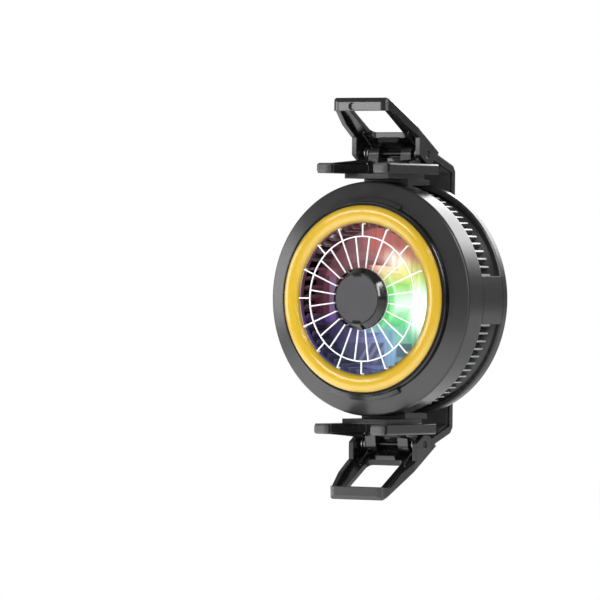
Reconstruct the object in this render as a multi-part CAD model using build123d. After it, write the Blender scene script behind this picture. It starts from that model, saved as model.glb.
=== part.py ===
from build123d import *
from math import atan2, cos, degrees, pi, radians, sin, sqrt, tan
import os

# Clip-on cooling fan for a phone, in millimetres. The fan axis is the Y axis and -Y is the front.
# X is to the right as seen from the front, Z is up, and Y = 0 is the cold plate face on the phone.
# Round pieces are drawn as (radius, depth), where depth grows from the phone towards the front.

# Driving sizes of the round body, from the phone outwards
body_radius = 33.0
wall = 1.5
rim_proud = 0.1
plate_proud = 0.9
rim_depth = 3.1
rim_edge = 0.4
vent_gap = 10.0
wall_depth = 7.4
bezel_rise = 1.7
collar_rise = 1.8
trim_rise = 1.0
edge_round = 0.7
running_gap = 0.3
fit_gap = 0.05

# Cold side: plate, thermoelectric module, foam and screws
plate_margin = 0.57
plate_thickness = 2.0
plate_corner = 3.0
module_inset = 4.0
module_thickness = 2.8
foam_margin = 0.4
plate_screw_inset = 3.0
small_screw_radius = 0.8
small_head_radius = 1.5
small_head_depth = 1.0

# Heatsink
base_side_gap = 5.3
base_thickness = 2.0
fin_count = 84
fin_thickness = 0.55
fin_root = 1.6
fin_wall_gap = 0.4
fin_length = 11.8
fin_cut = 1.85
fin_proud = 0.5
fin_lift = 0.4

# Side bridges, posts and housing screws
right_bridge_half_angle = 11.7
left_bridge_half_angle = 25.0
bridge_gap = 0.2
post_radius = 1.9
post_inset = 2.6
left_post_angle = 18.5
screw_radius = 1.0
head_radius = 1.8
head_depth = 1.2
screw_bite = 5.5

# Collar, trim ring, guard and hub on the front
bezel_width = 5.7
collar_wall = 1.4
collar_flange = 1.0
collar_flange_thickness = 1.0
collar_edge = 0.2
trim_seat = 1.1
trim_width = 4.9
trim_side = 0.45
trim_crest = 1.6
trim_shoulder = 3.6
trim_shoulder_drop = 0.3
trim_lip = 0.1
cover_width = 1.2
cover_half_angle = 27.0
cover_rise = 1.2
cover_fall = 0.3
notch_angle = 3.2
outer_cell = 3.8
guard_rib = 0.34
guard_depth = 0.36
guard_setback = 0.3
guard_rim_thickness = 0.8
outer_spokes = 16
inner_spokes = 24
hub_radius = 8.7
hub_face_radius = 7.6
hub_rise = 2.3
hub_side = 1.3
hub_disc_radius = 6.9
hub_disc_thickness = 0.6
hub_key_width = 3.6
hub_key_depth = 0.8
hub_key_taper = 0.55
hub_edge = 0.4

# Light ring behind the trim
guide_thickness = 1.0
led_board_thickness = 0.8
led_board_width = 2.0
led_count = 16
led_length = 2.0
led_width = 1.0
led_thickness = 0.8

# Impeller and motor
impeller_side_gap = 1.05
cage_width = 2.6
blade_count = 48
blade_thickness = 0.7
blade_lean = 24.0
shroud_width = 1.0
shroud_thickness = 0.5
impeller_hub_radius = 9.5
impeller_disc_thickness = 0.8
impeller_back = 14.2
impeller_skirt = 8.9
hub_wall = 0.6
hub_top = 1.0
boss_radius = 2.2
boss_length = 3.6
shaft_radius = 1.0
bearing_gap = 0.03
bearing_radius = 1.9
bearing_length = 6.0
tube_radius = 2.7
tube_length = 8.2
motor_foot_radius = 8.8
motor_foot_thickness = 0.8
motor_board_thickness = 0.8
stator_radius = 6.8
stator_core_radius = 3.8
stator_height = 3.0
stator_poles = 6
pole_width = 1.6
pole_shoe = 0.8
shoe_gap_angle = 12.0
winding_margin = 0.5
stator_lift = 1.2
magnet_wall = 0.9
magnet_height = 4.6
yoke_wall = 0.6

# Supply socket and its board, in the left bridge
socket_width = 8.94
socket_height = 3.16
socket_length = 6.2
socket_wall = 0.3
tongue_thickness = 0.7
board_width = 12.0
board_thickness = 1.0
board_rest = 5.2

# Clamp: fork bracket fixed to the body
fork_lift = 0.7
fork_plate_thickness = 1.4
fork_plate_lap = 0.6
fork_plate_front = 2.4
fork_back = 5.1
prong_proud = 0.7
prong_overlap = 0.4
prong_height = 2.9
prong_reach = 8.9
prong_edge = 0.4
ramp_width = 1.3
ramp_height = 1.2
ramp_back = 13.4
tip_width = 3.6
tip_height = 2.7
tip_reach = 2.3
tip_socket = 1.5
tip_round = 0.7
knuckle_width = 3.4
knuckle_radius = 2.25
knuckle_foot = 3.2
fork_screw_spacing = 6.2
fork_screw_back = 6.2

# Clamp: pin, lever, claw and pad, which swing together
pin_radius = 0.75
pin_back = 9.77
pin_height = 2.86
pin_head_radius = 1.1
pin_head_recess = 0.4
lever_angle = 32.0
lever_rise = 4.0
lever_front = 27.9
lever_half_width = 11.4
lever_taper = 2.0
lever_taper_start = 15.0
lever_corner = 3.2
lever_end_round = 2.2
lever_wall = 1.5
web_thickness = 1.4
end_bar_depth = 3.1
end_bar_height = 4.3
end_bevel = 1.2
lever_edge = 0.5
lever_tail = 4.9
cheek_front = 4.23
cheek_top = 4.54
cheek_corner_drop = 0.36
cheek_bottom = 2.66
cheek_toe = 0.6
cheek_heel = 1.6
cheek_back_low = (2.66, 2.24)
cheek_back_high = (4.17, 0.86)
rail_knee_out = 10.7
rail_knee_up = 8.0
window_rail = 3.5
window_back = 5.1
window_round = 1.6
bar_hole_radius = 1.0
bar_hole_depth = 0.8
bar_hole_side = -2.6
claw_side_gap = 0.6
claw_thickness = 2.0
claw_fall = 20.0
claw_bend_round = 1.6
claw_edge = 0.4
phone_gap = 6.4
lip_length = 7.7
tongue_side_gap = 0.4
tongue_reach = 4.6
tongue_overlap = 1.3
pad_thickness = 0.8
pad_margin = 0.6
pad_run = 5.4
claw_screw_offset = 2.7
claw_screw_radius = 0.6
claw_head_radius = 1.2
claw_head_depth = 0.6

# Clamp: torsion springs beside the knuckles
wire = 0.44
coil_radius = 1.5
coil_gap = 0.42
coil_turns = 2
coil_side_gap = 0.15
ease_angle = 60.0
leg_length = 7.0
leg_lift = 0.04

# Depth levels that follow from the sizes
rim_back = plate_proud
rim_front = rim_back + rim_depth
wall_back = rim_front + vent_gap
wall_front = wall_back + wall_depth
bezel_front = wall_front + bezel_rise
collar_front = bezel_front + collar_rise
trim_front = collar_front + trim_rise
module_back = plate_thickness
base_back = module_back + module_thickness
base_front = base_back + base_thickness
fin_front = base_front + fin_length
rim_radius = body_radius + rim_proud
shell_inner = body_radius - wall
base_radius = shell_inner - base_side_gap
fin_inner_radius = base_radius - fin_root
plate_side = 2 * ((base_radius - plate_margin - plate_corner) / sqrt(2) + plate_corner)
module_side = plate_side - 2 * module_inset
collar_radius = body_radius - bezel_width
trim_outer_radius = collar_radius - trim_seat
trim_inner_radius = trim_outer_radius - trim_width
guard_ring_radius = trim_inner_radius - outer_cell
fin_radius = shell_inner - fin_wall_gap
fin_vent_radius = fin_radius + fin_proud
boss_foot = fin_vent_radius + running_gap
bridge_front = wall_back - bridge_gap
bezel_inner = collar_radius + fit_gap
bezel_underside = bezel_front - wall - running_gap
collar_inner = collar_radius - collar_wall
guard_rim_front = collar_front
guard_rim_back = guard_rim_front - guard_rim_thickness
guard_front = trim_front - guard_setback
guard_back = guard_front - guard_depth
guide_back = guard_rim_back - guide_thickness
led_board_front = guide_back - led_thickness
led_board_back = led_board_front - led_board_thickness
ring_seat_radius = collar_inner - fit_gap
led_board_inner = ring_seat_radius - led_board_width
impeller_radius = led_board_inner - impeller_side_gap
impeller_front = guide_back - running_gap
post_circle = body_radius - post_inset
socket_back = board_rest + board_thickness

# Widths and angles of the clamp that follow from the sizes
leg_drop = pin_height - coil_radius - wire / 2 - leg_lift
leg_rise = lever_rise - web_thickness - coil_radius - wire / 2 - leg_lift
lower_leg_angle = degrees(atan2(leg_drop, leg_length))
upper_leg_angle = lever_angle + degrees(atan2(leg_rise, leg_length))
coil_turn = radians(180 - upper_leg_angle - lower_leg_angle + 360 * coil_turns)
ease = radians(ease_angle)
coil_rate = (wire + coil_gap) / (2 * pi - ease / 2)
coil_span = coil_rate * (coil_turn - ease)
lever_inside = lever_half_width - lever_wall
lever_end_half_width = lever_half_width - lever_taper
window_half_width = lever_end_half_width - window_rail
claw_half_width = lever_inside - claw_side_gap
knuckle_outer = lever_inside - 2 * coil_side_gap - wire - coil_span
knuckle_inner = knuckle_outer - knuckle_width
tongue_half_width = knuckle_inner - tongue_side_gap
prong_outer = lever_half_width + prong_proud
prong_inner = knuckle_outer - prong_overlap
fork_plate_half = prong_inner + fork_plate_lap

FAN = Plane(origin=(0, 0, 0), x_dir=(1, 0, 0), z_dir=(0, -1, 0))
TURN = Plane(origin=(0, 0, 0), x_dir=(1, 0, 0), z_dir=(0, 0, -1))
SIDE = Plane.YZ


def turned(points):
    """Solid turned about the fan axis from (radius, depth) corners."""
    return revolve(TURN * make_face(Polyline(*points, close=True)), Axis.Y)


def slab(sketch, low, high):
    """Sketch of (x, z) grown along the fan axis between two depths."""
    return extrude(FAN.offset(low) * sketch, amount=high - low)


def disc(radius, low, high):
    return slab(Circle(radius), low, high)


def ring(outer, inner, low, high):
    return disc(outer, low, high) - disc(inner, low, high)


def polar(radius, angle):
    return radius * cos(radians(angle)), radius * sin(radians(angle))


def around(shape, angle):
    """Turn a shape about the fan axis, anticlockwise as seen from the front."""
    return shape.rotate(Axis.Y, -angle)


def wedge(centre, half, low, high):
    """Pie slice wider than the body, for cutting rings into arcs."""
    reach = 2 * body_radius
    corners = [(0, 0), polar(reach, centre - half), polar(reach, centre), polar(reach, centre + half)]
    return slab(make_face(Polyline(*corners, close=True)), low, high)


def side_slab(points, half_width):
    """Outline in (y, z), grown to both sides of the middle plane."""
    face = SIDE * make_face(Polyline(*points, close=True))
    return extrude(face, amount=half_width, both=True)


def cross_rod(radius, y, z, low, high):
    """Round bar along X."""
    return extrude(SIDE.offset(low) * Pos(y, z) * Circle(radius), amount=high - low)


def upright_rod(radius, x, y, low, high):
    """Round bar along Z."""
    return extrude(Plane.XY.offset(low) * Pos(x, y) * Circle(radius), amount=high - low)


def plate_corners():
    place = plate_side / 2 - plate_screw_inset
    return [(sx * place, sz * place) for sx in (-1, 1) for sz in (-1, 1)]


def post_spots():
    return [polar(post_circle, a) for a in (0, 180 - left_post_angle, 180 + left_post_angle)]


def screw(x, z, head_low, head_r, head_d, shank_r, tip):
    """Pan screw along the fan axis with its head towards the phone."""
    head = slab(Pos(x, z) * Circle(head_r), head_low, head_low + head_d)
    return head + slab(Pos(x, z) * Circle(shank_r), head_low + head_d, tip)


# Cold side
def cold_plate():
    plate = slab(RectangleRounded(plate_side, plate_side, plate_corner), 0, plate_thickness)
    for x, z in plate_corners():
        plate -= slab(Pos(x, z) * Circle(small_head_radius + fit_gap), 0, small_head_depth)
        plate -= slab(Pos(x, z) * Circle(small_screw_radius + fit_gap), 0, plate_thickness)
    return plate


def thermoelectric_module():
    return slab(Rectangle(module_side, module_side), module_back, base_back)


def insulation_frame():
    opening = module_side + 2 * foam_margin
    frame = slab(RectangleRounded(plate_side, plate_side, plate_corner), module_back, base_back)
    frame -= slab(Rectangle(opening, opening), module_back, base_back)
    for x, z in plate_corners():
        frame -= slab(Pos(x, z) * Circle(small_screw_radius + fit_gap), module_back, base_back)
    return frame


def cold_plate_screws():
    tip = base_front - running_gap
    return [
        screw(x, z, running_gap, small_head_radius, small_head_depth - running_gap, small_screw_radius, tip)
        for x, z in plate_corners()
    ]


def fin_angles():
    """Fins stand all round except where the side bridges hold their posts."""
    step = 360 / fin_count
    half = degrees(fin_thickness / 2 / fin_radius)
    keep = []
    for angle in [step * i for i in range(fin_count)]:
        from_right = abs((angle + 180) % 360 - 180)
        from_left = abs(angle - 180)
        if from_right > right_bridge_half_angle + half and from_left > left_bridge_half_angle + half:
            keep.append(angle)
    return keep


def heatsink():
    outline = [
        (fin_inner_radius, base_back),
        (base_radius, base_back),
        (fin_vent_radius - fin_cut, base_back + fin_lift),
        (fin_vent_radius, base_back + fin_lift + fin_cut),
        (fin_vent_radius, bridge_front),
        (fin_radius, bridge_front),
        (fin_radius, fin_front),
        (fin_inner_radius, fin_front),
    ]
    face = TURN * make_face(Polyline(*outline, close=True))
    fin = extrude(face, amount=fin_thickness / 2, both=True)
    sink = disc(base_radius, base_back, base_front) + [around(fin, a) for a in fin_angles()]
    for x, z in plate_corners():
        sink -= slab(Pos(x, z) * Circle(small_screw_radius + fit_gap), base_back, base_front)
    return sink


# Housing
def rear_cover():
    plateau = base_radius + fin_wall_gap
    outline = [
        (0, rim_back),
        (rim_radius - edge_round, rim_back),
        (rim_radius, rim_back + edge_round),
        (rim_radius, rim_front - rim_edge),
        (rim_radius - rim_edge, rim_front),
        (rim_radius - wall, rim_front),
        (rim_radius - wall - edge_round, rim_front - wall),
        (plateau, base_back),
        (0, base_back),
    ]
    cover = turned(outline)
    bridge = ring(body_radius, shell_inner, rim_back + wall, bridge_front)
    cover += bridge & wedge(0, right_bridge_half_angle, rim_back, bridge_front)
    cover += bridge & wedge(180, left_bridge_half_angle, rim_back, bridge_front)
    for x, z in post_spots():
        cover += slab(Pos(x, z) * Circle(post_radius), rim_back + wall, bridge_front)
    boss_top = body_radius + fork_lift
    boss_size = (2 * fork_plate_half, bridge_front - rim_back - wall, boss_top - boss_foot)
    boss_y = -(bridge_front + rim_back + wall) / 2
    for side in (-1, 1):
        boss = Pos(0, boss_y, side * (boss_top + boss_foot) / 2) * Box(*boss_size)
        cover += boss
        for y in fork_screw_spots():
            low, high = sorted((side * boss_foot, side * boss_top))
            cover -= upright_rod(screw_radius + fit_gap, 0, y, low, high)
    rest = (shell_inner - base_radius - fin_wall_gap, board_width)
    rest_x = -(shell_inner + base_radius + fin_wall_gap) / 2
    cover += slab(Pos(rest_x, 0) * Rectangle(*rest), rim_back + wall, board_rest)
    window = plate_side + 2 * running_gap
    cover -= slab(RectangleRounded(window, window, plate_corner + running_gap), 0, base_back)
    for x, z in post_spots():
        cover -= slab(Pos(x, z) * Circle(head_radius + fit_gap), 0, rim_back + head_depth)
        cover -= slab(Pos(x, z) * Circle(screw_radius + fit_gap), 0, bridge_front)
    cover -= socket_block(fit_gap, wall)
    return cover


def socket_block(grow, extra):
    """Outer form of the supply socket, its mouth facing left."""
    width = socket_width + 2 * grow
    height = socket_height + 2 * grow
    middle = -(socket_back + socket_height / 2)
    length = socket_length + extra
    front = -(body_radius - running_gap) - extra
    plane = Plane(origin=(front, middle, 0), x_dir=(0, 0, 1), z_dir=(1, 0, 0))
    return extrude(plane * RectangleRounded(width, height, height / 2 - fit_gap), amount=length)


def usb_c_socket():
    shell = socket_block(0, 0)
    inner_width = socket_width - 2 * socket_wall
    inner_height = socket_height - 2 * socket_wall
    middle = -(socket_back + socket_height / 2)
    front = -(body_radius - running_gap)
    plane = Plane(origin=(front, middle, 0), x_dir=(0, 0, 1), z_dir=(1, 0, 0))
    pocket = plane * RectangleRounded(inner_width, inner_height, inner_height / 2 - fit_gap)
    tongue = plane.offset(wall) * Rectangle(inner_width - 2 * wall, tongue_thickness)
    shell -= extrude(pocket, amount=socket_length - 2 * socket_wall)
    return shell + extrude(tongue, amount=socket_length - wall)


def control_board():
    outer = shell_inner - running_gap
    inner = base_radius + fin_wall_gap
    board = Pos(-(outer + inner) / 2, 0) * Rectangle(outer - inner, board_width)
    return slab(board, board_rest, board_rest + board_thickness) & disc(outer, 0, wall_back)


def bezel_depth(radius):
    """Depth of the sloping front face at a radius."""
    return bezel_front - bezel_rise * (radius - bezel_inner) / (body_radius - bezel_inner)


def front_shell():
    seat = collar_radius + collar_flange + fit_gap
    outline = [
        (body_radius, wall_back),
        (body_radius, wall_front),
        (bezel_inner, bezel_front),
        (bezel_inner, bezel_underside),
        (seat, bezel_underside),
        (shell_inner, wall_front - wall),
        (shell_inner, wall_back),
    ]
    shell = turned(outline)
    circles = shell.edges().filter_by(GeomType.CIRCLE)
    front_edge = circles.filter_by(lambda e: abs(e.radius - body_radius) < fit_gap).sort_by(Axis.Y)[0]
    shell = fillet(front_edge, edge_round)
    for x, z in post_spots():
        post = slab(Pos(x, z) * Circle(post_radius), wall_back - bridge_gap, wall_front - wall / 2)
        shell += post & disc(body_radius - wall / 2, 0, trim_front)
    for x, z in post_spots():
        shell -= slab(Pos(x, z) * Circle(screw_radius + fit_gap), 0, wall_back + screw_bite + fit_gap)
    return shell


def housing_screws():
    tip = wall_back + screw_bite
    return [
        screw(x, z, rim_back + running_gap, head_radius, head_depth - running_gap, screw_radius, tip)
        for x, z in post_spots()
    ]


# Front ring pieces
def collar_ring():
    flange_front = bezel_underside
    flange_back = flange_front - collar_flange_thickness
    shelf = led_board_back
    outline = [
        (collar_radius + collar_flange, flange_back),
        (collar_radius + collar_flange, flange_front),
        (collar_radius, flange_front),
        (collar_radius, collar_front - collar_edge),
        (collar_radius - collar_edge, collar_front),
        (collar_inner, collar_front),
        (collar_inner, shelf),
        (collar_inner - led_board_width / 2, shelf),
        (collar_inner - led_board_width / 2, flange_back),
    ]
    return turned(outline)


def collar_covers():
    outer = bezel_inner + cover_width
    outline = [
        (bezel_inner, bezel_front),
        (bezel_inner, bezel_front + cover_rise),
        (outer, bezel_depth(outer) + cover_rise - cover_fall),
        (outer, bezel_depth(outer)),
    ]
    band = turned(outline)
    half = cover_half_angle - notch_angle
    return [band & wedge(centre, half, 0, trim_front) for centre in (90, 270)]


def yellow_trim_ring():
    foot = (trim_outer_radius, collar_front)
    side = (trim_outer_radius, collar_front + trim_side)
    crest = (trim_outer_radius - trim_crest, trim_front)
    shoulder = (trim_outer_radius - trim_shoulder, trim_front - trim_shoulder_drop)
    lip = (trim_inner_radius, collar_front + trim_lip)
    lines = [
        Line(foot, side),
        ThreePointArc(side, crest, shoulder),
        Polyline(shoulder, lip, (trim_inner_radius, collar_front), foot),
    ]
    return revolve(TURN * make_face(lines), Axis.Y)


def spoke(inner, outer, angle):
    """Straight rib of the guard, standing on edge, its outer end stepped under the trim ring."""
    if outer > guard_ring_radius:
        step = outer - guard_rib
        outline = [
            (inner, guard_back),
            (inner, guard_front),
            (step, guard_front),
            (step, guard_rim_front),
            (outer + guard_rib, guard_rim_front),
            (outer + guard_rib, guard_rim_back),
            (step - guard_rib, guard_rim_back),
            (step - guard_rib, guard_back),
        ]
    else:
        outline = [(inner, guard_back), (inner, guard_front), (outer, guard_front), (outer, guard_back)]
    face = TURN * make_face(Polyline(*outline, close=True))
    return around(extrude(face, amount=guard_rib / 2, both=True), angle)


def spoke_guard():
    rim = ring(ring_seat_radius, trim_inner_radius + guard_rib, guard_rim_back, guard_rim_front)
    half = guard_rib / 2
    middle = ring(guard_ring_radius + half, guard_ring_radius - half, guard_back, guard_front)
    hub_ring = ring(hub_radius, hub_radius - wall, guard_back, guard_front)
    spokes = [spoke(guard_ring_radius, trim_inner_radius + guard_rib / 2, 360 / outer_spokes * i)
              for i in range(outer_spokes)]
    spokes += [spoke(hub_radius - wall / 2, guard_ring_radius, 360 / inner_spokes * (i + 0.5))
               for i in range(inner_spokes)]
    return rim + [middle, hub_ring] + spokes


def hub_keys(grow, low, high):
    """Two tapered keys, top and bottom, that hold the hub disc from turning."""
    half = hub_key_width / 2 + grow
    end = hub_disc_radius - hub_key_depth - grow
    keys = []
    for side in (-1, 1):
        outline = [
            (-half, side * hub_face_radius),
            (half, side * hub_face_radius),
            (half - hub_key_taper, side * end),
            (hub_key_taper - half, side * end),
        ]
        keys.append(slab(make_face(Polyline(*outline, close=True)), low, high))
    return keys


def hub_cap():
    plug = hub_radius - wall - fit_gap
    side_front = guard_front + hub_side - running_gap
    face_front = trim_front + hub_rise
    outline = [
        (0, guard_back),
        (plug, guard_back),
        (plug, guard_front),
        (hub_radius, guard_front),
        (hub_radius, side_front),
        (hub_face_radius, face_front - hub_edge),
        (hub_face_radius - hub_edge, face_front),
        (0, face_front),
    ]
    seat = face_front - hub_disc_thickness
    pocket = disc(hub_disc_radius + 2 * fit_gap, seat, face_front)
    for key in hub_keys(0, seat, face_front):
        pocket -= key
    return turned(outline) - pocket


def hub_disc():
    face_front = trim_front + hub_rise
    seat = face_front - hub_disc_thickness
    plate = disc(hub_disc_radius, seat, face_front)
    for key in hub_keys(fit_gap, seat, face_front):
        plate -= key
    return plate


def light_guide_ring():
    return ring(ring_seat_radius, trim_inner_radius + fit_gap, guide_back, guard_rim_back)


def led_board():
    return ring(ring_seat_radius, led_board_inner, led_board_back, led_board_front)


def leds():
    radius = (ring_seat_radius + led_board_inner) / 2
    chip = slab(Pos(radius, 0) * Rectangle(led_width, led_length), led_board_front, guide_back)
    return [around(chip, 360 / led_count * i) for i in range(led_count)]


# Impeller and motor
def impeller():
    disc_front = impeller_back + impeller_disc_thickness
    skirt_inner = impeller_hub_radius - hub_wall
    hub_front = impeller_front - running_gap
    outline = [
        (skirt_inner, impeller_skirt),
        (impeller_hub_radius, impeller_skirt),
        (impeller_hub_radius, impeller_back),
        (impeller_radius, impeller_back),
        (impeller_radius, disc_front),
        (impeller_hub_radius, disc_front),
        (impeller_hub_radius, hub_front - edge_round),
        (impeller_hub_radius - edge_round, hub_front),
        (0, hub_front),
        (0, hub_front - hub_top),
        (skirt_inner, hub_front - hub_top),
    ]
    wheel = turned(outline)
    boss_back = hub_front - hub_top - boss_length
    wheel += disc(boss_radius, boss_back, hub_front - hub_top)
    wheel -= disc(shaft_radius, boss_back, hub_front - hub_top)
    wheel += ring(impeller_radius, impeller_radius - shroud_width,
                  impeller_front - shroud_thickness, impeller_front)
    plan = Rot(0, 0, blade_lean) * Rectangle(2 * cage_width, blade_thickness)
    blade = slab(Pos(impeller_radius - cage_width / 2, 0) * plan, impeller_back, impeller_front)
    blade &= ring(impeller_radius, impeller_radius - cage_width, impeller_back, impeller_front)
    return wheel + [around(blade, 360 / blade_count * i) for i in range(blade_count)]


def rotor_yoke():
    outer = impeller_hub_radius - hub_wall
    back = impeller_skirt + running_gap
    return ring(outer, outer - yoke_wall, back, back + magnet_height)


def rotor_magnet():
    outer = impeller_hub_radius - hub_wall - yoke_wall
    back = impeller_skirt + running_gap
    return ring(outer, outer - magnet_wall, back, back + magnet_height)


def motor_shaft():
    hub_front = impeller_front - running_gap - hub_top
    return disc(shaft_radius, base_front + motor_foot_thickness + running_gap, hub_front)


def motor_base():
    foot_front = base_front + motor_foot_thickness
    tube = disc(tube_radius, foot_front, foot_front + tube_length)
    bore = disc(bearing_radius, foot_front, foot_front + tube_length)
    return disc(motor_foot_radius, base_front, foot_front) + (tube - bore)


def sleeve_bearing():
    foot_front = base_front + motor_foot_thickness
    front = foot_front + tube_length
    return ring(bearing_radius, shaft_radius + bearing_gap, front - bearing_length, front)


def motor_board():
    back = base_front + motor_foot_thickness
    return ring(motor_foot_radius - running_gap, tube_radius + fit_gap, back, back + motor_board_thickness)


def stator_core():
    back = base_front + motor_foot_thickness + motor_board_thickness + stator_lift
    front = back + stator_height
    core = ring(stator_core_radius, tube_radius, back, front)
    arm = slab(Pos(stator_radius / 2, 0) * Rectangle(stator_radius, pole_width), back, front)
    arm -= disc(tube_radius, back, front)
    shoe = ring(stator_radius, stator_radius - pole_shoe, back, front)
    shoe &= wedge(0, (360 / stator_poles - shoe_gap_angle) / 2, back, front)
    arm = (arm & disc(stator_radius, back, front)) + shoe
    return core + [around(arm, 360 / stator_poles * i) for i in range(stator_poles)]


def stator_windings():
    back = base_front + motor_foot_thickness + motor_board_thickness + stator_lift
    front = back + stator_height
    low = stator_core_radius + winding_margin
    width = pole_width + 2 * winding_margin
    high = sqrt((stator_radius - pole_shoe) ** 2 - (width / 2) ** 2) - fit_gap
    block = Pos((low + high) / 2, 0) * Rectangle(high - low, width)
    core = Pos((low + high) / 2, 0) * Rectangle(high - low, pole_width + fit_gap)
    winding = slab(block, back - winding_margin, front + winding_margin)
    winding -= slab(core, back - fit_gap, front + fit_gap)
    return [around(winding, 360 / stator_poles * i) for i in range(stator_poles)]


# Clamp, drawn for the top of the body. The lower clamp is its mirror image.
fork_under = body_radius + fork_lift
fork_top = fork_under + fork_plate_thickness
prong_top = fork_under + fork_plate_thickness + prong_height
pin_y = -pin_back
pin_z = prong_top + pin_height


def fork_screw_spots():
    return [-fork_screw_back, -fork_screw_back - fork_screw_spacing]


def arm(along, out):
    """Point in (y, z), measured from the pin along the lever and square out of its outer face."""
    c, s = cos(radians(lever_angle)), sin(radians(lever_angle))
    return pin_y - along * c + out * s, pin_z + along * s + out * c


def fork_bracket():
    front = -(wall_front + fork_plate_front)
    prong_tip = -(wall_front + prong_reach)
    plate_length = -fork_back - front
    plate = Pos(0, (front - fork_back) / 2, (fork_under + fork_top) / 2)
    fork = plate * Box(2 * fork_plate_half, plate_length, fork_plate_thickness)
    prong_width = prong_outer - prong_inner
    prong = Box(prong_width, -fork_back - prong_tip, prong_height)
    prong = chamfer(prong.edges().filter_by(Axis.Y).group_by(Axis.Z)[-1], prong_edge)
    prong_x = (prong_inner + prong_outer) / 2
    prong = Pos(prong_x, (prong_tip - fork_back) / 2, prong_top - prong_height / 2) * prong
    socket_middle = prong_top - prong_height / 2
    socket = Box(tip_width + 2 * fit_gap, 2 * tip_socket, tip_height - 2 * tip_round)
    prong -= Pos(prong_x, prong_tip, socket_middle) * socket
    foot = Pos((prong_inner + fork_plate_half) / 2, (front - fork_back) / 2, fork_top)
    foot_height = fork_plate_thickness
    foot = foot * Box(fork_plate_half - prong_inner, plate_length, foot_height)
    crest = prong_top + ramp_height
    toe = prong_tip + prong_edge
    ramp = Polyline((toe, prong_top), (-ramp_back, crest), (-ramp_back, prong_top), close=True)
    ramp_face = SIDE.offset(prong_inner) * make_face(ramp)
    ramp_bar = extrude(ramp_face, amount=ramp_width)
    lug_width = knuckle_outer - knuckle_inner
    lug = cross_rod(knuckle_radius, pin_y, pin_z, knuckle_inner, knuckle_outer)
    lug_outline = [
        (pin_y - knuckle_radius, pin_z),
        (pin_y + knuckle_radius, pin_z),
        (pin_y + knuckle_foot, fork_under),
        (pin_y - knuckle_foot, fork_under),
    ]
    lug_face = SIDE.offset(knuckle_inner) * make_face(Polyline(*lug_outline, close=True))
    half = prong + foot + ramp_bar + lug + extrude(lug_face, amount=lug_width)
    fork += half
    fork += mirror(half, about=Plane.YZ)
    fork -= cross_rod(pin_radius + fit_gap, pin_y, pin_z, -prong_outer, prong_outer)
    for y in fork_screw_spots():
        fork -= upright_rod(screw_radius + fit_gap, 0, y, fork_under, fork_top)
    return fork


def fork_screws():
    screws = []
    for y in fork_screw_spots():
        shank = upright_rod(screw_radius, 0, y, boss_foot + fit_gap, fork_top)
        screws.append(shank + upright_rod(head_radius, 0, y, fork_top, fork_top + head_depth))
    return screws


def fork_tips():
    prong_tip = -(wall_front + prong_reach)
    middle = prong_top - prong_height / 2
    nose = Box(tip_width, tip_reach, tip_height)
    nose = fillet(nose.edges().filter_by(Axis.Y) + nose.edges().group_by(Axis.Y)[0], tip_round)
    root = Box(tip_width, tip_socket - fit_gap, tip_height - 2 * tip_round - 2 * fit_gap)
    tip = Pos(0, prong_tip - tip_reach / 2, middle) * nose
    tip += Pos(0, prong_tip + (tip_socket - fit_gap) / 2, middle) * root
    x = (prong_inner + prong_outer) / 2
    return [Pos(side * x, 0, 0) * tip for side in (-1, 1)]


def lever_front_top():
    """Where the outer face of the lever would meet its front face."""
    c, s = cos(radians(lever_angle)), sin(radians(lever_angle))
    along = (pin_y + lever_rise * s + lever_front) / c
    return arm(along, lever_rise)


def lever_plan():
    """Lever seen from above: straight cheeks, then a taper to a round-cornered end."""
    back = -lever_taper_start
    front = -lever_front
    outline = [
        (-lever_half_width, 0),
        (-lever_half_width, back),
        (-lever_end_half_width, front),
        (lever_end_half_width, front),
        (lever_half_width, back),
        (lever_half_width, 0),
    ]
    face = make_face(Polyline(*outline, close=True))
    return fillet(face.vertices().group_by(Axis.Y)[0], lever_corner)


def lever_face_on(top_z):
    """Lever seen from the front, with the round upper corners of its end."""
    outline = [
        (-lever_half_width, 0),
        (-lever_half_width, top_z - end_bar_height),
        (-lever_end_half_width, top_z),
        (lever_end_half_width, top_z),
        (lever_half_width, top_z - end_bar_height),
        (lever_half_width, 0),
    ]
    face = make_face(Polyline(*outline, close=True))
    face = fillet(face.vertices().group_by(Axis.Y)[-1], lever_end_round)
    return slab(face, 0, 2 * lever_front)


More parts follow.
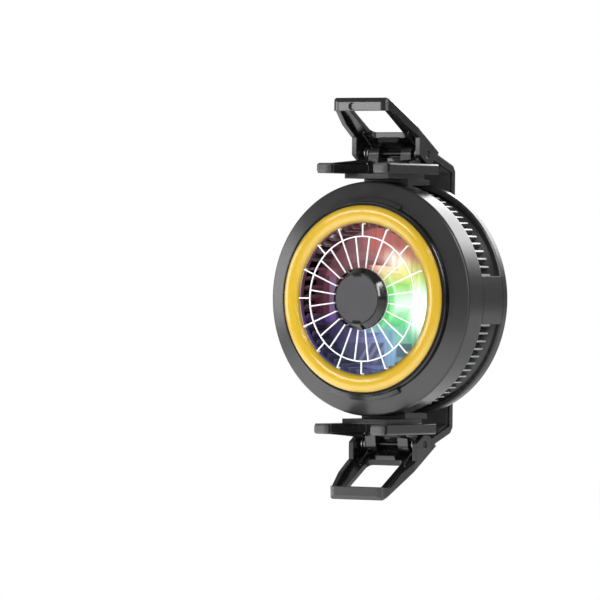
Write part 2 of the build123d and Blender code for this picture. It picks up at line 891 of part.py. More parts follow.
def lever(with_hole):
    top_y, top_z = lever_front_top()
    bar_bottom = top_z - end_bar_height
    bevel_run = end_bevel * cos(radians(lever_angle))
    bevel_fall = end_bevel * sin(radians(lever_angle))
    outline = [
        arm(-lever_tail, lever_rise),
        (top_y + bevel_run, top_z - bevel_fall),
        (top_y, top_z - bevel_fall - end_bevel),
        (top_y, bar_bottom),
        (top_y + end_bar_depth, bar_bottom),
        (pin_y - rail_knee_out, pin_z + rail_knee_up),
        (pin_y - cheek_front, pin_z + cheek_top),
        (pin_y - cheek_front, pin_z - cheek_corner_drop),
        (pin_y - cheek_toe, pin_z - cheek_bottom),
        (pin_y + cheek_heel, pin_z - cheek_bottom),
        (pin_y + cheek_back_low[0], pin_z - cheek_back_low[1]),
        (pin_y + cheek_back_high[0], pin_z - cheek_back_high[1]),
    ]
    body = side_slab(outline, lever_half_width)
    plan = extrude(Plane.XY * lever_plan(), amount=2 * top_z)
    body &= plan
    outer_edges = body.edges().filter_by(lambda e: on_outer_face(e.center(), e.length))
    body = chamfer(outer_edges, lever_edge)
    body &= lever_face_on(top_z)
    under = lever_rise - web_thickness
    bar_back = top_y + end_bar_depth
    under_front = along_at(bar_back, under)
    hollow = [
        arm(-2 * lever_tail, under),
        arm(under_front, under),
        (bar_back, 0),
        (0, 0),
    ]
    inset = offset(lever_plan(), -lever_wall)
    cavity = side_slab(hollow, lever_inside)
    cavity &= extrude(Plane.XY * (inset + wide_tail()), amount=2 * top_z)
    body -= cavity
    back_y, back_z = arm(window_back, lever_rise)
    window_y = (back_y + bar_back) / 2
    window = RectangleRounded(2 * window_half_width, back_y - bar_back, window_round)
    body -= extrude(Plane.XY * Pos(0, window_y) * window, amount=2 * top_z)
    body -= cross_rod(pin_radius, pin_y, pin_z, -lever_half_width, lever_half_width)
    for side in (-1, 1):
        face = side * lever_half_width
        low, high = sorted((face, face - side * pin_head_recess))
        body -= cross_rod(pin_head_radius + fit_gap, pin_y, pin_z, low, high)
    for along in (-claw_screw_offset, claw_screw_offset):
        body -= arm_rod(claw_head_radius + fit_gap, along, lever_rise - claw_head_depth, lever_rise)
        body -= arm_rod(claw_screw_radius + fit_gap, along, under, lever_rise)
    if with_hole:
        middle = (top_z - bevel_fall - end_bevel + bar_bottom) / 2
        hole = FAN.offset(-top_y - bar_hole_depth) * Pos(bar_hole_side, middle) * Circle(bar_hole_radius)
        body -= extrude(hole, amount=2 * bar_hole_depth)
    return body


def wide_tail():
    """Keeps the channel open at its back end."""
    width = 2 * lever_inside
    return Pos(0, -lever_taper_start / 2) * Rectangle(width, lever_taper_start)


def along_at(y, out):
    """Distance along the lever of the point at height out over the pin line that lies at y."""
    c, s = cos(radians(lever_angle)), sin(radians(lever_angle))
    return (pin_y + out * s - y) / c


def on_outer_face(point, length):
    """True for the long edges that border the lever's outer face."""
    c, s = cos(radians(lever_angle)), sin(radians(lever_angle))
    out = (point.Y - pin_y) * s + (point.Z - pin_z) * c
    return abs(out - lever_rise) < fit_gap and length > lever_edge and abs(point.X) > window_half_width


def arm_rod(radius, along, low, high):
    """Round bar square to the lever's outer face."""
    y, z = arm(along, low)
    normal = Vector(0, sin(radians(lever_angle)), cos(radians(lever_angle)))
    return extrude(Plane(origin=(0, y, z), z_dir=normal) * Circle(radius), amount=high - low)


def claw_points():
    """Outer bend and lip corners of the claw plate in (y, z)."""
    start = arm(-lever_tail, lever_rise)
    lip_back = phone_gap + claw_thickness
    fall = tan(radians(claw_fall))
    bend_z = start[1] - (lip_back - start[0]) * fall
    inner_z = start[1] - (phone_gap - start[0]) * fall - claw_thickness / cos(radians(claw_fall))
    return start, lip_back, bend_z, inner_z, inner_z - lip_length


def claw():
    start, lip_back, bend_z, inner_z, lip_end = claw_points()
    square = claw_thickness * sin(radians(claw_fall)), claw_thickness * cos(radians(claw_fall))
    outline = [
        start,
        (lip_back - claw_bend_round, bend_z + claw_bend_round * tan(radians(claw_fall))),
        (lip_back, bend_z - claw_bend_round),
        (lip_back, lip_end),
        (phone_gap, lip_end),
        (phone_gap, inner_z),
        (start[0] - square[0], start[1] - square[1]),
    ]
    plate = side_slab(outline, claw_half_width)
    long_edges = plate.edges().filter_by(Axis.Z).group_by(Axis.Y)[-1]
    plate = chamfer(long_edges, claw_edge)
    under = lever_rise - web_thickness
    low = pin_radius + running_gap
    tongue = [
        arm(-lever_tail - tongue_overlap, under),
        arm(tongue_reach, under),
        arm(tongue_reach, low),
        arm(-lever_tail - tongue_overlap, low),
    ]
    plate += side_slab(tongue, tongue_half_width)
    for along in (-claw_screw_offset, claw_screw_offset):
        plate -= arm_rod(claw_screw_radius, along, low, under)
    return plate


def claw_pad():
    start, lip_back, bend_z, inner_z, lip_end = claw_points()
    fall = tan(radians(claw_fall))
    run_y = phone_gap - pad_run
    run_z = inner_z + pad_run * fall
    down = pad_thickness / cos(radians(claw_fall))
    outline = [
        (phone_gap, inner_z),
        (phone_gap, lip_end + pad_margin),
        (phone_gap - pad_thickness, lip_end + pad_margin),
        (phone_gap - pad_thickness, inner_z + pad_thickness * fall - down),
        (run_y, run_z - down),
        (run_y, run_z),
    ]
    return side_slab(outline, claw_half_width - pad_margin)


def hinge_pin():
    end = lever_half_width - pin_head_recess
    pin = cross_rod(pin_radius, pin_y, pin_z, -end, end)
    head = end + pin_head_recess / 2
    for low, high in ((-head, -end), (end, head)):
        pin += cross_rod(pin_head_radius, pin_y, pin_z, low, high)
    return pin


def claw_screws():
    screws = []
    low = pin_radius + running_gap
    seat = lever_rise - claw_head_depth
    for along in (-claw_screw_offset, claw_screw_offset):
        shank = arm_rod(claw_screw_radius, along, low, seat)
        screws.append(shank + arm_rod(claw_head_radius, along, seat, lever_rise - fit_gap))
    return screws


def biarc(p0, t0, p1, t1):
    """Two arcs from p0 to p1 that leave along t0 and arrive along t1."""
    chord = p1 - p0
    both = t0 + t1
    a = both.dot(both) - 4
    b = -2 * chord.dot(both)
    c = chord.dot(chord)
    reach = (-b - sqrt(b * b - 4 * a * c)) / (2 * a)
    middle = (p0 + t0 * reach + p1 - t1 * reach) * 0.5
    first = TangentArc(p0, middle, tangent=t0)
    second = TangentArc(p1, middle, tangent=t1 * -1)
    return [first, second]


def spring_path():
    """Centre line of the torsion spring on the right: leg on the prong, coil, leg under the lever."""
    inside = knuckle_outer + coil_side_gap + wire / 2
    start = radians(lower_leg_angle - 90)
    turn = coil_turn
    outside = inside + coil_span

    def travel(a):
        if a < ease:
            return a * a / (2 * ease), a / ease
        if a > turn - ease:
            rest = turn - a
            return turn - ease - rest * rest / (2 * ease), rest / ease
        return a - ease / 2, 1

    def station(a):
        far, pace = travel(a)
        angle = start + a
        across, up = coil_radius * cos(angle), coil_radius * sin(angle)
        place = Vector(outside - coil_rate * far, pin_y + across, pin_z + up)
        course = Vector(-coil_rate * pace, -up, across)
        return place, course.normalized()

    steps = round(turn / (pi / 2))
    stops = [station(turn * i / steps) for i in range(steps + 1)]
    first, last = stops[0], stops[-1]
    edges = [Line(first[0] - first[1] * leg_length, first[0])]
    for one, two in zip(stops, stops[1:]):
        edges += biarc(*one, *two)
    edges.append(Line(last[0], last[0] + last[1] * leg_length))
    count = 400
    coil = [station(turn * i / count)[0] for i in range(count + 1)]
    apart = round(count * pi / turn)
    near = min((one - two).length for i, one in enumerate(coil) for two in coil[i + apart:])
    print("torsion spring: least gap between turns", round(near - wire, 3), "mm")
    return edges, first


def torsion_springs():
    edges, first = spring_path()
    start = edges[0] @ 0
    section = Plane(origin=start, z_dir=first[1]) * Circle(wire / 2)
    coil = sweep(section, path=Wire(edges))
    return [coil, mirror(coil, about=Plane.YZ)]


def solids_of(made):
    """One list of solids from a shape or a list of shapes."""
    shapes = made if isinstance(made, list) else [made]
    return [solid for shape in shapes for solid in shape.solids()]


def save(name, made):
    found = solids_of(made)
    shape = found[0] if len(found) == 1 else Compound(children=found)
    export_step(shape, f"parts/{name}.step")


def main():
    os.makedirs("parts", exist_ok=True)
    for make in (
        cold_plate, thermoelectric_module, insulation_frame, cold_plate_screws, heatsink,
        rear_cover, usb_c_socket, control_board, front_shell, housing_screws,
        collar_ring, collar_covers, yellow_trim_ring, spoke_guard, hub_cap, hub_disc,
        light_guide_ring, led_board, leds,
        impeller, rotor_yoke, rotor_magnet, motor_shaft,
        motor_base, sleeve_bearing, motor_board, stator_core, stator_windings,
    ):
        save(make.__name__, make())
    for place in ("upper", "lower"):
        pieces = {
            "fork_bracket": fork_bracket(),
            "fork_screws": fork_screws(),
            "fork_tips": fork_tips(),
            "lever": lever(place == "upper"),
            "claw": claw(),
            "claw_pad": claw_pad(),
            "claw_screws": claw_screws(),
            "hinge_pin": hinge_pin(),
            "torsion_springs": torsion_springs(),
        }
        for name, made in pieces.items():
            found = solids_of(made)
            if place == "lower":
                found = [mirror(solid, about=Plane.XY) for solid in found]
            save(f"{place}_{name}", found)


main()
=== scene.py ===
from math import cos, pi, radians, sin

import bpy
from mathutils import Matrix, Vector


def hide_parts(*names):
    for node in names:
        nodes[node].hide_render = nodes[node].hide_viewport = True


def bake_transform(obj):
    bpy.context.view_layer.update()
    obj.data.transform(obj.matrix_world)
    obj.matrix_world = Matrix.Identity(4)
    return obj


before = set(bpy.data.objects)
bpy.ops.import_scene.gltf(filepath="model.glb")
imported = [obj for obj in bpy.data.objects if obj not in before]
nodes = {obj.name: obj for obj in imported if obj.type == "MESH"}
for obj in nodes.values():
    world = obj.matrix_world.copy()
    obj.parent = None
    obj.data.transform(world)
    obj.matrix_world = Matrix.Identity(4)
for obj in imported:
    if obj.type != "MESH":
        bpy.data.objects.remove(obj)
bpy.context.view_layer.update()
scene = bpy.context.scene
mm = 0.001
plainIor = 1.5
plainEdge = 0.12
bevelSamples = 4


# ---- materials: helpers
def linear(hexText, alpha=1.0):
    values = [int(hexText[i:i + 2], 16) / 255 for i in (1, 3, 5)]
    return [v / 12.92 if v <= 0.04045 else ((v + 0.055) / 1.055) ** 2.4 for v in values] + [alpha]


def grey(value):
    return (value, value, value, 1.0)


def patternScale(size):
    # texture scale per metre for a pattern of this size in mm
    return 1000 / size


def addNode(tree, kind, settings=None):
    # a value is a link from a socket, an attribute of the node, or the constant of an input
    node = tree.nodes.new(kind)
    for key, value in (settings or {}).items():
        if isinstance(value, bpy.types.NodeSocket):
            tree.links.new(value, node.inputs[key])
        elif isinstance(key, str) and hasattr(node, key):
            setattr(node, key, value)
        else:
            node.inputs[key].default_value = value
    return node


def newMaterial(name):
    material = bpy.data.materials.new(name)
    material.use_nodes = True
    material.node_tree.nodes.clear()
    return material, material.node_tree


def ownPlace(tree):
    return addNode(tree, "ShaderNodeTexCoord").outputs["Object"]


def noiseOver(tree, place, size, detail):
    settings = {"Scale": patternScale(size), "Detail": detail, "Vector": place}
    return addNode(tree, "ShaderNodeTexNoise", settings).outputs["Fac"]


def stretch(tree, value, start, end, low=0.0, high=1.0, curve="LINEAR"):
    # start becomes low and end becomes high
    settings = {"interpolation_type": curve, "Value": value, "From Min": start, "From Max": end,
                "To Min": low, "To Max": high}
    return addNode(tree, "ShaderNodeMapRange", settings).outputs["Result"]


def compute(tree, operation, first, second):
    settings = {"operation": operation, 0: first, 1: second}
    return addNode(tree, "ShaderNodeMath", settings).outputs[0]


def times(tree, first, second):
    return compute(tree, "MULTIPLY", first, second)


def vectorNode(tree, operation, first, second=(0.0, 0.0, 0.0)):
    return addNode(tree, "ShaderNodeVectorMath", {"operation": operation, 0: first, 1: second})


def mixColour(tree, factor, first, second):
    settings = {"data_type": "RGBA", "Factor": factor, 6: first, 7: second}
    return addNode(tree, "ShaderNodeMix", settings).outputs[2]


def tintBetween(tree, look, factor):
    return mixColour(tree, factor, linear(look["dark"]), linear(look["light"]))


def roughBetween(tree, look, factor):
    return stretch(tree, factor, 0.0, 1.0, *look["rough"])


def rampFrom(tree, source, stops):
    ramp = addNode(tree, "ShaderNodeValToRGB", {"Fac": source})
    elements = ramp.color_ramp.elements
    while len(elements) > 1:
        elements.remove(elements[-1])
    elements[0].position, elements[0].color = stops[0]
    for position, colour in stops[1:]:
        elements.new(position).color = colour
    return ramp.outputs["Color"]


def finishMaterial(tree, base, roughness, more, bump=None, edge=plainEdge):
    # base, roughness and the values in more are constants or sockets; edge is the radius in mm
    # that a moulded or machined edge seems to have, and bump is a height and its depth in mm
    rounded = addNode(tree, "ShaderNodeBevel", {"samples": bevelSamples, "Radius": edge * mm})
    normal = rounded.outputs["Normal"]
    if bump:
        height, depth = bump
        relief = {"Strength": 1.0, "Distance": depth * mm, "Height": height, "Normal": normal}
        normal = addNode(tree, "ShaderNodeBump", relief).outputs["Normal"]
    shader = addNode(tree, "ShaderNodeBsdfPrincipled",
                     {"Base Color": base, "Roughness": roughness, "Normal": normal, **more})
    addNode(tree, "ShaderNodeOutputMaterial", {"Surface": shader.outputs["BSDF"]})


def mouldedPlastic(name, look):
    # grain is the size in mm of the mould's spark-eroded texture, cloud that of the slow tone
    material, tree = newMaterial(name)
    place = ownPlace(tree)
    grain = noiseOver(tree, place, look["grain"], 3.0)
    flow = noiseOver(tree, place, look["cloud"], 2.0)
    finishMaterial(tree, tintBetween(tree, look, flow), roughBetween(tree, look, flow),
                   {"IOR": look.get("ior", plainIor), **look.get("more", {})},
                   bump=(grain, look["relief"]), edge=look["edge"])
    return material


def drawnMetal(name, look):
    # lines run along one axis, as a mill or a die leaves them
    material, tree = newMaterial(name)
    squeeze = addNode(tree, "ShaderNodeMapping", {"Scale": look["lines"], "Vector": ownPlace(tree)})
    lines = noiseOver(tree, squeeze.outputs["Vector"], look["grain"], 4.0)
    finishMaterial(tree, tintBetween(tree, look, lines), roughBetween(tree, look, lines),
                   {"Metallic": 1.0}, bump=(lines, look["relief"]), edge=look["edge"])
    return material


# ---- light from the fixed LEDs, painted as emission by angle round the fan axis
glowLook = {
    # each stop is a turn from the left side, clockwise as seen from the front, and what is there
    "wheel": [
        (0.0, "#6A2034"), (0.1, "#7A464F"), (0.19, "#9A626B"), (0.27, "#B0787C"),
        (0.35, "#CC7468"), (0.42, "#D8A078"), (0.455, "#98CC68"), (0.5, "#62D070"),
        (0.57, "#68CC8C"), (0.625, "#80C4AC"), (0.68, "#8CA8E0"), (0.76, "#8884C6"),
        (0.85, "#4A4478"), (0.93, "#4A3660"), (1.0, "#6A2034"),
    ],
    "ring": [
        (0.0, "#8A2030"), (0.14, "#A03040"), (0.26, "#E04848"), (0.38, "#FFB060"),
        (0.5, "#80FF90"), (0.62, "#60D8D0"), (0.76, "#5860D8"), (0.88, "#4848D8"),
        (0.94, "#7040B0"), (1.0, "#8A2030"),
    ],
    "power": [
        (0.0, 0.4), (0.12, 0.42), (0.25, 0.5), (0.35, 0.8), (0.43, 1.3), (0.5, 1.5),
        (0.58, 1.2), (0.65, 0.85), (0.75, 0.5), (0.85, 0.38), (1.0, 0.4),
    ],
    # a ramp holds values up to 1, so it holds the powers as shares of this one
    "fullPower": 3.0,
}


def roomPlace(tree, lean=0.0):
    # the light stands still, so it is taken from the place in the room and not from the piece;
    # lean moves it to the left, in mm
    place = addNode(tree, "ShaderNodeNewGeometry").outputs["Position"]
    return vectorNode(tree, "ADD", place, (lean * mm, 0.0, 0.0)).outputs["Vector"]


def turnAround(tree, room):
    # 0 at the left side, 0.25 at the top, 0.5 at the right, 0.75 at the bottom
    parts = addNode(tree, "ShaderNodeSeparateXYZ", {"Vector": room}).outputs
    angle = compute(tree, "ARCTAN2", times(tree, parts["Z"], -1.0), parts["X"])
    return stretch(tree, angle, -pi, pi)


def reachFromAxis(tree, room):
    flat = vectorNode(tree, "MULTIPLY", room, (1.0, 0.0, 1.0)).outputs["Vector"]
    return vectorNode(tree, "LENGTH", flat).outputs["Value"]


def glowColour(tree, turn, key):
    return rampFrom(tree, turn, [(at, linear(colour)) for at, colour in glowLook[key]])


def glowPower(tree, turn):
    full = glowLook["fullPower"]
    stops = [(at, grey(power / full)) for at, power in glowLook["power"]]
    return times(tree, rampFrom(tree, turn, stops), full)


# ---- materials: the object's own finishes
plasticLooks = {
    # ABS from a spark-eroded mould: dark, with a soft sheen and a grain that only shows close up
    "mouldedAbs": {
        "dark": "#222223", "light": "#2B2B2C", "rough": (0.22, 0.28), "grain": 0.35,
        "cloud": 14.0, "relief": 0.008, "edge": 0.25,
    },
    # the clamps' ABS, from a finer mould: nearly black between crisp light edges
    "sheenAbs": {
        "dark": "#131314", "light": "#1A1A1B", "rough": (0.2, 0.28), "grain": 0.6,
        "cloud": 6.0, "relief": 0.003, "edge": 0.4,
        "more": {"Coat Weight": 0.2, "Coat Roughness": 0.12},
    },
    # the same ABS from a polished mould: deep black, with mirror streaks from the lamps
    "polishedAbs": {
        "dark": "#070708", "light": "#0B0B0D", "rough": (0.1, 0.14), "grain": 1.5,
        "cloud": 12.0, "relief": 0.002, "edge": 0.6,
        "more": {"Coat Weight": 0.25, "Coat Roughness": 0.05},
    },
    # pigmented polycarbonate from a polished mould: warm yellow under a hard gloss
    "yellowPolycarbonate": {
        "dark": "#B89512", "light": "#C2A024", "rough": (0.14, 0.2), "grain": 2.0,
        "cloud": 9.0, "relief": 0.002, "edge": 1.4,
        "more": {"Coat Weight": 0.5, "Coat Roughness": 0.08,
                 "Subsurface Weight": 0.1, "Subsurface Scale": 0.0015},
    },
    # white ABS, satin: thin ribs that stay bright against the light behind them
    "whiteAbs": {
        "dark": "#E4E2E4", "light": "#EFEEF0", "rough": (0.35, 0.45), "grain": 0.5,
        "cloud": 8.0, "relief": 0.004, "edge": 0.12,
    },
    # grey ABS, fine satin: flat and quiet beside the gloss rim
    "greyAbs": {
        "dark": "#343436", "light": "#3C3C3E", "rough": (0.4, 0.48), "grain": 0.25,
        "cloud": 6.0, "relief": 0.006, "edge": 0.12,
    },
    # silicone rubber, moulded: dull, with a soft dusty grain
    "siliconeRubber": {
        "dark": "#1B1B1C", "light": "#262627", "rough": (0.62, 0.74), "grain": 0.5,
        "cloud": 3.0, "relief": 0.02, "edge": 0.2,
    },
    # grey silicone tips: lighter, coarse grip texture
    "gripSilicone": {
        "dark": "#3F3F40", "light": "#565657", "rough": (0.55, 0.7), "grain": 0.4,
        "cloud": 0.9, "relief": 0.05, "edge": 0.3,
    },
    # closed-cell foam: small pits
    "closedCellFoam": {
        "dark": "#141414", "light": "#2A2A2A", "rough": (0.85, 0.95), "grain": 0.7,
        "cloud": 1.5, "relief": 0.15, "edge": 0.1,
    },
    # alumina plates of the cooler block: chalk white, faintly speckled
    "aluminaCeramic": {
        "dark": "#DAD8D2", "light": "#EDEBE6", "rough": (0.5, 0.6), "grain": 0.3,
        "cloud": 1.0, "relief": 0.01, "edge": 0.05, "ior": 1.7,
    },
    # bonded ferrite: charcoal, slightly mottled
    "bondedFerrite": {
        "dark": "#161617", "light": "#2B2B2D", "rough": (0.5, 0.7), "grain": 0.3,
        "cloud": 0.6, "relief": 0.02, "edge": 0.08,
    },
    # oil-filled sintered bronze: brown-gold and porous
    "sinteredBronze": {
        "dark": "#6B4A24", "light": "#A27A45", "rough": (0.4, 0.6), "grain": 0.25,
        "cloud": 0.6, "relief": 0.02, "edge": 0.05,
    },
}
metalLooks = {
    # milled aluminium: pale, fine lines along the fin
    "milledAluminium": {
        "dark": "#8E9093", "light": "#BCBEC1", "rough": (0.34, 0.5), "grain": 0.4,
        "lines": (1.0, 0.12, 1.0), "relief": 0.008, "edge": 0.06,
    },
    # cold plate: ground flat, with long straight lines
    "groundAluminium": {
        "dark": "#B0B2B5", "light": "#DADBDD", "rough": (0.26, 0.4), "grain": 0.35,
        "lines": (1.0, 1.0, 0.03), "relief": 0.006, "edge": 0.3,
    },
    # zinc plated steel: bright, with a cold tint
    "zincSteel": {
        "dark": "#8E9298", "light": "#C6C9CE", "rough": (0.25, 0.38), "grain": 0.5,
        "lines": (1.0, 1.0, 1.0), "relief": 0.004, "edge": 0.08,
    },
    # blackened steel of pins and screws: dark with light edges
    "blackenedSteel": {
        "dark": "#2E2F31", "light": "#4C4D50", "rough": (0.28, 0.42), "grain": 0.4,
        "lines": (1.0, 1.0, 1.0), "relief": 0.004, "edge": 0.1,
    },
    # drawn spring wire: bright, with faint lines along the width of the clamp
    "springWire": {
        "dark": "#9A9B9E", "light": "#D2D3D5", "rough": (0.22, 0.34), "grain": 0.3,
        "lines": (0.2, 1.0, 1.0), "relief": 0.003, "edge": 0.02,
    },
    # enamelled copper winding wire, 0.25 mm thick: fine ridges side by side
    "windingCopper": {
        "dark": "#7A3416", "light": "#D4824A", "rough": (0.25, 0.35), "grain": 0.25,
        "lines": (0.05, 1.0, 0.05), "relief": 0.05, "edge": 0.15,
    },
    # stator sheets, 0.35 mm each, stacked
    "statorSheets": {
        "dark": "#5E6064", "light": "#8E9094", "rough": (0.35, 0.5), "grain": 0.35,
        "lines": (0.03, 1.0, 0.03), "relief": 0.03, "edge": 0.04,
    },
}
finishes = {name: mouldedPlastic(name, look) for name, look in plasticLooks.items()}
finishes.update({name: drawnMetal(name, look) for name, look in metalLooks.items()})

wheelLook = {
    "blade": "#34343C", "rough": 0.25,
    # in mm: radius of the lit disc and the fade past it, radius of the hub, and how far the
    # light is moved to the left
    "disc": 19.9, "fade": 0.4, "hub": 10.4, "lean": 5.5,
    # strength of the whole painted glow, the share of it past the disc, and how far it is painted
    # into the disc's colour
    "bloom": 0.66, "spill": 0.6, "paintedGlowTint": 0.45,
    # share from the hub to the edge of the disc, and how bright it is there
    "rings": [(0.0, 0.25), (0.05, 0.4), (0.09, 1.0), (0.14, 0.7), (0.24, 1.0), (0.34, 0.72),
              (0.6, 0.9), (1.0, 0.6)],
    # painted streaks in the glow: strength, size in mm, turn in degrees, squeeze along each axis,
    # part of the noise
    "glowStreak": {"share": 0.3, "size": 9.0, "turn": 35.0, "squeeze": (9.0, 1.0, 0.7),
               "noise": (0.3, 0.7)},
    # what shows through the disc: painted shadows of the blades and painted bright spots. Each has
    # its kind, middle x and z and half width and height in mm, turn, softness, share, colour, power
    "patches": [
        ("round", (9.9, 10.6), (4.2, 2.4), 30, 0.9, 0.85, "#FFF2E2", 1.5),
        ("round", (4.2, 17.0), (4.5, 4.0), 0, 0.6, 0.8, "#D8706A", 0.65),
        ("round", (14.5, 6.5), (4.5, 3.5), 0, 0.8, 0.8, "#E4F48C", 1.0),
        ("box", (12.2, -1.0), (2.2, 5.2), 0, 0.5, 0.9, "#6EE87A", 0.9),
        ("round", (18.0, -3.0), (3.8, 7.0), 0, 0.5, 0.95, "#F2FFF6", 1.4),
        ("box", (-15.2, 0.6), (2.7, 5.7), 0, 0.12, 0.85, "#6A3042", 0.6),
        ("box", (-11.2, 0.0), (1.1, 6.5), 0, 0.3, 0.6, "#A48CC0", 0.45),
        ("box", (-15.5, 7.6), (5.0, 1.1), 6, 0.3, 0.7, "#B4607C", 0.5),
        ("box", (-15.0, -6.0), (5.0, 0.9), -6, 0.3, 0.7, "#7A55B0", 0.45),
        ("box", (-1.0, -15.6), (7.2, 3.2), 0, 0.08, 0.8, "#5E6280", 0.3),
        *[("box", (across, -15.0), (0.5, 3.4), 35, 0.3, 0.7, "#A0A8D0", 0.5)
          for across in (0.0, 2.6, 5.2)],
        ("box", (8.2, -14.5), (1.6, 5.6), 0, 0.3, 0.8, "#8CB8D4", 0.75),
        ("box", (13.0, -14.4), (2.6, 1.9), 0, 0.15, 0.7, "#50607C", 0.3),
    ],
    # half depth in mm that every patch has along the fan axis, so it takes in the whole wheel
    "patchDepth": 90.0,
}


def softPatch(tree, room, kind, middle, half, turn, soft, share):
    # share inside a box or a round of the fan's plane, 0 outside, with a soft edge
    size = (half[0], wheelLook["patchDepth"], half[1])
    settings = {"vector_type": "TEXTURE", "Vector": room, "Rotation": (0.0, radians(turn), 0.0),
                "Location": (middle[0] * mm, 0.0, middle[1] * mm),
                "Scale": [value * mm for value in size]}
    inside = addNode(tree, "ShaderNodeMapping", settings).outputs["Vector"]
    if kind == "box":
        positive = vectorNode(tree, "ABSOLUTE", inside).outputs["Vector"]
        parts = addNode(tree, "ShaderNodeSeparateXYZ", {"Vector": positive}).outputs
        reach = compute(tree, "MAXIMUM", parts["X"], parts["Z"])
    else:
        reach = vectorNode(tree, "LENGTH", inside).outputs["Value"]
    return stretch(tree, reach, 1.0 - soft, 1.0 + soft, share, 0.0, curve="SMOOTHSTEP")


def glowStreaks(tree, room, look):
    slant = addNode(tree, "ShaderNodeMapping",
                    {"Rotation": (0.0, radians(look["turn"]), 0.0), "Scale": look["squeeze"],
                     "Vector": room})
    noise = noiseOver(tree, slant.outputs["Vector"], look["size"], 3.0)
    return stretch(tree, noise, *look["noise"], 1.0 - look["share"], 1.0 + look["share"])


def litWheel(look):
    # smoked polycarbonate, moulded, with painted light: the LEDs' light on the thin disc is painted
    # in as emission in their colours, and the blades stay dark
    material, tree = newMaterial("smokedPolycarbonate")
    disc = look["disc"] * mm
    room = roomPlace(tree, look["lean"])
    turn = turnAround(tree, room)
    reach = reachFromAxis(tree, roomPlace(tree))
    onDisc = stretch(tree, reach, disc, disc + look["fade"] * mm, 1.0, 0.0)
    outward = stretch(tree, reachFromAxis(tree, room), look["hub"] * mm, disc)
    rings = rampFrom(tree, outward, [(at, grey(power)) for at, power in look["rings"]])
    colour = glowColour(tree, turn, "wheel")
    level = times(tree, glowPower(tree, turn), rings)
    for kind, middle, half, slope, soft, share, tint, power in look["patches"]:
        mask = softPatch(tree, room, kind, middle, half, slope, soft, share)
        colour = mixColour(tree, mask, colour, linear(tint))
        level = addNode(tree, "ShaderNodeMix", {"Factor": mask, 2: level, 3: power}).outputs[0]
    spread = compute(tree, "MAXIMUM", onDisc, look["spill"])
    for factor in (glowStreaks(tree, room, look["glowStreak"]), spread, look["bloom"]):
        level = times(tree, level, factor)
    # painted glow: the LED colour is mixed into the disc's own colour
    body = mixColour(tree, times(tree, onDisc, look["paintedGlowTint"]), linear(look["blade"]), colour)
    finishMaterial(tree, body, look["rough"],
                   {"IOR": plainIor, "Emission Color": colour, "Emission Strength": level})
    return material


ringLooks = {
    # frosted acrylic with painted glow: the LEDs' light through it is given as emission, an even
    # line of colour behind the trim
    "frostedAcrylic": {"body": "#3C3648", "rough": 0.4, "power": 0.22},
    # white LED bodies: the colour that each one gives follows its place on the ring
    "ledLens": {"body": "#E8E6DC", "rough": 0.3, "power": 1.5},
}


def litRing(name, look):
    material, tree = newMaterial(name)
    # emission in the ring's colours: painted glow on the light guide, the LEDs' own light on the
    # LEDs
    colour = glowColour(tree, turnAround(tree, roomPlace(tree)), "ring")
    finishMaterial(tree, linear(look["body"]), look["rough"],
                   {"IOR": plainIor, "Emission Color": colour,
                    "Emission Strength": look["power"]})
    return material


boardLook = {"dark": "#0E3B24", "light": "#2C7A4B", "rough": 0.3, "pitch": 3.0, "track": 0.08,
             "relief": 0.03, "edge": 0.05}


def circuitBoard(look):
    # glass-epoxy board under solder mask: tracks about 0.5 mm wide show as a lighter green.
    # The brick pattern lays half a track, as a share of the pitch, on each side of a joint.
    material, tree = newMaterial("solderMask")
    tracks = addNode(tree, "ShaderNodeTexBrick",
                     {"Scale": patternScale(look["pitch"]), "Mortar Size": look["track"],
                      "Vector": ownPlace(tree)}).outputs["Fac"]
    finishMaterial(tree, tintBetween(tree, look, tracks), look["rough"], {"IOR": plainIor},
                   bump=(tracks, look["relief"]), edge=look["edge"])
    return material


finishes["smokedPolycarbonate"] = litWheel(wheelLook)
finishes["solderMask"] = circuitBoard(boardLook)
finishes.update({name: litRing(name, look) for name, look in ringLooks.items()})


def onBothClamps(*names):
    return [place + "_" + name for name in names for place in ("upper", "lower")]


wearing = {
    "mouldedAbs": ["rear_cover", "front_shell", "collar_covers"],
    "sheenAbs": onBothClamps("fork_bracket", "lever", "claw"),
    "polishedAbs": ["collar_ring", "hub_cap"],
    "yellowPolycarbonate": ["yellow_trim_ring"],
    "whiteAbs": ["spoke_guard", "motor_base"],
    "greyAbs": ["hub_disc"],
    "siliconeRubber": onBothClamps("claw_pad"),
    "gripSilicone": onBothClamps("fork_tips"),
    "closedCellFoam": ["insulation_frame"],
    "aluminaCeramic": ["thermoelectric_module"],
    "bondedFerrite": ["rotor_magnet"],
    "sinteredBronze": ["sleeve_bearing"],
    "milledAluminium": ["heatsink"],
    "groundAluminium": ["cold_plate"],
    "zincSteel": ["cold_plate_screws", "usb_c_socket", "rotor_yoke", "motor_shaft"],
    "blackenedSteel": ["housing_screws", *onBothClamps("fork_screws", "claw_screws", "hinge_pin")],
    "springWire": onBothClamps("torsion_springs"),
    "windingCopper": ["stator_windings"],
    "statorSheets": ["stator_core"],
    "smokedPolycarbonate": ["impeller"],
    "frostedAcrylic": ["light_guide_ring"],
    "solderMask": ["control_board", "motor_board", "led_board"],
    "ledLens": ["leds"],
}
for finish, names in wearing.items():
    for name in names:
        mesh = nodes[name].data
        mesh.materials.clear()
        mesh.materials.append(finishes[finish])
print("finishes on", sum(len(names) for names in wearing.values()), "of", len(nodes), "nodes")


def springPair(place):
    node = nodes[place + "_torsion_springs"]
    piece = bpy.data.objects.new(place + "SpringPair", node.data.copy())
    scene.collection.objects.link(piece)
    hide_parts(node.name)
    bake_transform(piece)


for place in ("upper", "lower"):
    springPair(place)
print("springs between fork and lever")


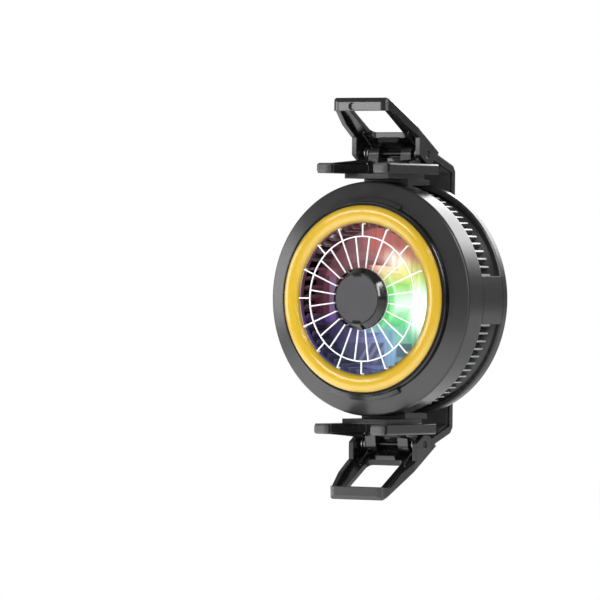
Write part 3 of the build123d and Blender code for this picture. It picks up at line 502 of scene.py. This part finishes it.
# ---- studio: places and sizes in mm
studio = {
    "white": "#FFFFFF", "air": 0.34,
    # a long lens from far away, for the flat perspective of a product picture
    "camera": {"turn": 33.0, "lift": 0.3, "roll": 0.6, "distance": 1870.0, "lens": 400.0,
               "sensor": 36.0, "target": (0.0, -21.4, 0.0), "shift": (-0.1165, -0.002)},
    # the paper is seen a little less than white near the fan, from one radius to the other
    "floor": {"height": -56.4, "half": 3000.0, "paper": "#F4F4F4", "fade": (40.0, 160.0),
              "whiteness": (0.9, 1.0)},
    # a painted pool of light on the paper, given as emission, low in front on the left: the lower
    # bezel and the upper lever mirror it. It fades from one radius to the other
    "pool": {"middle": (-75.0, -125.0, 0.0), "fade": (40.0, 240.0), "power": 2.2},
    # name: (size x, size y, place, watts)
    "lamps": {
        "backTop": (440, 220, (10, 440, 215), 1.9),
        "leftFront": (260, 420, (-520, -230, -60), 1.5),
        "frontRight": (160, 60, (330, -560, 420), 1.2),
        "rightStrip": (40, 360, (476, -531, 70), 0.5),
        "rightHigh": (50, 420, (430, -320, 280), 1.1),
        "upperGlint": (90, 24, (-82, -166, 60), 0.06),
    },
}


def areaLamp(name, look):
    wide, tall, place, watts = look
    lamp = bpy.data.lights.new(name, "AREA")
    lamp.shape, lamp.size, lamp.size_y, lamp.energy = "RECTANGLE", wide * mm, tall * mm, watts
    holder = bpy.data.objects.new(name, lamp)
    holder.location = Vector(place) * mm
    holder.rotation_euler = (-holder.location).to_track_quat("-Z", "Y").to_euler()
    scene.collection.objects.link(holder)


def studioAir():
    world = bpy.data.worlds.new("studioAir")
    world.use_nodes = True
    tree = world.node_tree
    tree.nodes.clear()
    seen = addNode(tree, "ShaderNodeLightPath").outputs["Is Camera Ray"]
    sky, white = (addNode(tree, "ShaderNodeBackground",
                          {"Color": linear(studio["white"]), "Strength": strength}).outputs[0]
                  for strength in (studio["air"], 1.0))
    pick = addNode(tree, "ShaderNodeMixShader", {0: seen, 1: sky, 2: white})
    addNode(tree, "ShaderNodeOutputWorld", {"Surface": pick.outputs[0]})
    scene.world = world


def paleFloor(look, poolLook):
    half, height = look["half"] * mm, look["height"] * mm
    mesh = bpy.data.meshes.new("studioFloor")
    corners = [(-half, -half), (half, -half), (half, half), (-half, half)]
    mesh.from_pydata([(x, y, height) for x, y in corners], [], [(0, 1, 2, 3)])
    floor = bpy.data.objects.new("studioFloor", mesh)
    scene.collection.objects.link(floor)
    material, tree = newMaterial("paperFloor")
    place = ownPlace(tree)
    white = linear(studio["white"])
    paper = addNode(tree, "ShaderNodeBsdfDiffuse", {"Color": linear(look["paper"])}).outputs[0]
    shine = addNode(tree, "ShaderNodeEmission", {"Color": white, "Strength": 1.0}).outputs[0]
    away = vectorNode(tree, "LENGTH", place).outputs["Value"]
    whiteness = stretch(tree, away, *(radius * mm for radius in look["fade"]), *look["whiteness"])
    seen = addNode(tree, "ShaderNodeLightPath").outputs["Is Camera Ray"]
    middle = [value * mm for value in poolLook["middle"]]
    apart = vectorNode(tree, "DISTANCE", place, middle).outputs["Value"]
    # painted pool of light: emission on the paper, fading away from its middle
    glare = stretch(tree, apart, *(radius * mm for radius in poolLook["fade"]),
                    poolLook["power"], 0.0, curve="SMOOTHSTEP")
    bounce = addNode(tree, "ShaderNodeEmission", {"Color": white, "Strength": glare}).outputs[0]
    lit = addNode(tree, "ShaderNodeAddShader", {0: paper, 1: bounce}).outputs[0]
    mixed = addNode(tree, "ShaderNodeMixShader",
                    {0: times(tree, seen, whiteness), 1: lit, 2: shine})
    addNode(tree, "ShaderNodeOutputMaterial", {"Surface": mixed.outputs[0]})
    mesh.materials.append(material)


def photoCamera(look):
    turn, lift, roll = (radians(look[key]) for key in ("turn", "lift", "roll"))
    away = Vector((sin(turn) * cos(lift), -cos(turn) * cos(lift), sin(lift)))
    camera = bpy.data.cameras.new("photoCamera")
    camera.lens, camera.sensor_width = look["lens"], look["sensor"]
    camera.shift_x, camera.shift_y = look["shift"]
    holder = bpy.data.objects.new("photoCamera", camera)
    spot = Vector(look["target"]) * mm + away * look["distance"] * mm
    aim = (-away).to_track_quat("-Z", "Y").to_matrix().to_4x4()
    holder.matrix_world = Matrix.Translation(spot) @ aim @ Matrix.Rotation(roll, 4, "Z")
    scene.collection.objects.link(holder)
    scene.camera = holder


for name, look in studio["lamps"].items():
    areaLamp(name, look)
studioAir()
paleFloor(studio["floor"], studio["pool"])
photoCamera(studio["camera"])
scene.view_settings.view_transform = "Standard"
print("studio ready")
